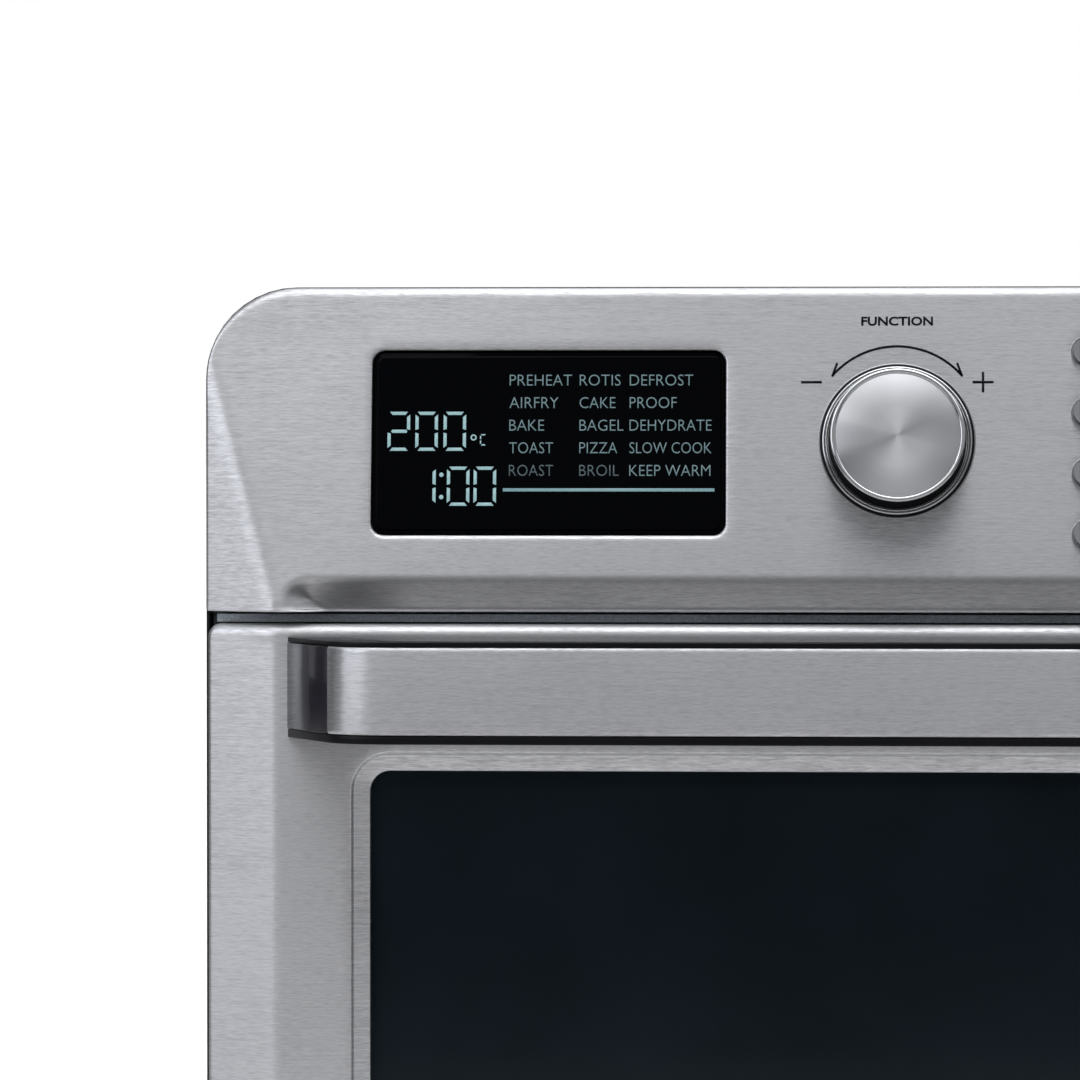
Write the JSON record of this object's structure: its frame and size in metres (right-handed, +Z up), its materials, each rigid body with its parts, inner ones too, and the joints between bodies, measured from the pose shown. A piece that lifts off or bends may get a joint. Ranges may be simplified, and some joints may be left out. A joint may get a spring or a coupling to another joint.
{
  "type": "toaster oven",
  "caption": "Countertop toaster oven with a leaning control panel, display, dials, push buttons, a drop-down windowed door with a bow handle, a wire rack and a crumb tray.",
  "frame": {"origin": "middle of the outline at the height of the feet's undersides", "axes": "+X to the oven's right seen from the front, -Y out of the door, +Z up"},
  "size_m": [0.414, 0.3806, 0.3556],
  "materials": {
    "stainless": "horizontally brushed stainless",
    "chrome": "bright chrome plate",
    "cover_black": "fine-texture black enamel",
    "frame_grey": "textured dark-grey coating",
    "chassis": "galvanised sheet",
    "cavity": "aluminised steel, satin",
    "black_plastic": "satin black",
    "gloss_black": "gloss dark grey",
    "dark_glass": "tempered, tinted nearly black",
    "circuit_green": "solder mask",
    "rubber": "matt",
    "seal": "heat-resistant silicone",
    "heater": "oxidised heater sheath",
    "ceramic": "unglazed",
    "lens": "frosted heat-resistant glass"
  },
  "bodies": {
    "housing": {"outer_cover": "cover_black", "rear_cover": "cover_black", "base_pan": "chassis", "fan_drum": "chassis", "fan_motor": "chassis", "rotisserie_motor": "chassis", "hinge_bracket_left": "chassis", "hinge_bracket_right": "chassis", "function_encoder": "chassis", "timer_encoder": "chassis", "front_frame": "frame_grey", "foot_front_left": "rubber", "foot_front_right": "rubber", "foot_rear_left": "rubber", "foot_rear_right": "rubber", "rear_spacer_left": "black_plastic", "rear_spacer_right": "black_plastic", "cord_gland": "black_plastic", "display_module": "black_plastic", "fascia_carrier": "black_plastic", "cavity_left_wall": "cavity", "cavity_right_wall": "cavity", "cavity_top": "cavity", "cavity_floor": "cavity", "cavity_back": "cavity", "fan_guard": "cavity", "upper_element_front": "heater", "upper_element_rear": "heater", "lower_element_front": "heater", "lower_element_rear": "heater", "lamp_lens": "lens", "lamp_holder": "ceramic", "function_ring": "chrome", "timer_ring": "chrome", "control_fascia": "stainless", "display_glass": "dark_glass", "control_board": "circuit_green", "power_board": "circuit_green"},
    "door": {"door_panel": "stainless", "door_glass": "dark_glass", "door_inner_frame": "cover_black", "door_seal": "seal", "hinge_leaf_left": "chassis", "hinge_leaf_right": "chassis", "handle_core": "black_plastic", "handle_band": "stainless", "handle_cap_left": "gloss_black", "handle_cap_right": "gloss_black"},
    "function_dial": {"function_knob": "chrome", "function_knob_face": "stainless"},
    "timer_dial": {"timer_knob": "chrome", "timer_knob_face": "stainless"},
    "button_start": {"button_start": "chrome"},
    "button_light": {"button_light": "chrome"},
    "button_unit": {"button_unit": "chrome"},
    "button_fan_speed": {"button_fan_speed": "chrome"},
    "convection_fan": {"fan_wheel": "cavity"},
    "rotisserie_drive": {"rotisserie_socket": "chassis"},
    "tray": {"crumb_tray": "chassis"},
    "rack": {"wire_rack": "chrome"}
  },
  "joints": [
    {"name": "door_hinge", "type": "hinge", "parent": "housing", "child": "door", "pos_m": [0, -0.137, 0.058], "axis": [1, 0, 0], "range_deg": [0, 90], "stiffness_Nm_per_rad": 0.3, "springref_deg": -114.59},
    {"name": "function_knob_turn", "type": "hinge", "parent": "housing", "child": "function_dial", "pos_m": [0, -0.14483, 0.3095], "axis": [0, -0.9889, 0.1483], "continuous": true},
    {"name": "timer_knob_turn", "type": "hinge", "parent": "housing", "child": "timer_dial", "pos_m": [0.128, -0.14483, 0.3095], "axis": [0, -0.9889, 0.1483], "continuous": true},
    {"name": "button_start_press", "type": "slide", "parent": "housing", "child": "button_start", "axis": [0, 0.9889, -0.1483], "range_m": [0, 0.001], "stiffness_N_per_m": 500},
    {"name": "button_light_press", "type": "slide", "parent": "housing", "child": "button_light", "axis": [0, 0.9889, -0.1483], "range_m": [0, 0.001], "stiffness_N_per_m": 500},
    {"name": "button_unit_press", "type": "slide", "parent": "housing", "child": "button_unit", "axis": [0, 0.9889, -0.1483], "range_m": [0, 0.001], "stiffness_N_per_m": 500},
    {"name": "button_fan_speed_press", "type": "slide", "parent": "housing", "child": "button_fan_speed", "axis": [0, 0.9889, -0.1483], "range_m": [0, 0.001], "stiffness_N_per_m": 500},
    {"name": "fan_spin", "type": "hinge", "parent": "housing", "child": "convection_fan", "pos_m": [0, 0.015, 0.258], "axis": [0, 0, 1], "continuous": true},
    {"name": "rotisserie_spin", "type": "hinge", "parent": "housing", "child": "rotisserie_drive", "pos_m": [0.16, 0.015, 0.15], "axis": [1, 0, 0], "continuous": true},
    {"name": "tray_slide", "type": "slide", "parent": "housing", "child": "tray", "axis": [0, -1, 0], "range_m": [0, 0.15]},
    {"name": "rack_slide", "type": "slide", "parent": "housing", "child": "rack", "axis": [0, -1, 0], "range_m": [0, 0.018]}
  ]
}
